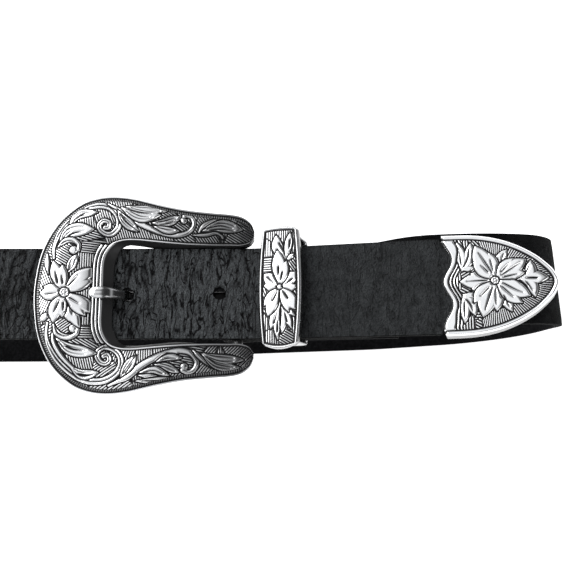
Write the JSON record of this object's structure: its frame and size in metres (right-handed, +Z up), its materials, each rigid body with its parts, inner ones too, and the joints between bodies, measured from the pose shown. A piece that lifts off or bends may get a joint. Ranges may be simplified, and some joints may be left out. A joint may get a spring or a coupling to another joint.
{
  "type": "western belt",
  "caption": "Black leather belt fastened as a loop, with an engraved silver-tone horseshoe buckle, a matching keeper and a pointed metal tip.",
  "frame": {"origin": "middle of the bounding box's underside, on the surface that the belt lies on", "axes": "+X along the belt from the left bend towards the metal tip, +Y across the strap, +Z up out of the buckle's face"},
  "size_m": [0.384, 0.0684, 0.0864],
  "materials": {
    "black_leather": "semi-matt black top-grain leather, wrinkled near the buckle, with a smoother burnished edge",
    "antique_silver": "polished cast relief in antique silver tone with black patina in the recesses",
    "plain_steel": "plain nickel-plated steel"
  },
  "bodies": {
    "root": {"strap": "black_leather", "buckle_frame": "antique_silver", "prong": "antique_silver", "keeper": "antique_silver", "tip": "antique_silver", "rivet_1": "plain_steel", "rivet_2": "plain_steel"}
  },
  "joints": []
}
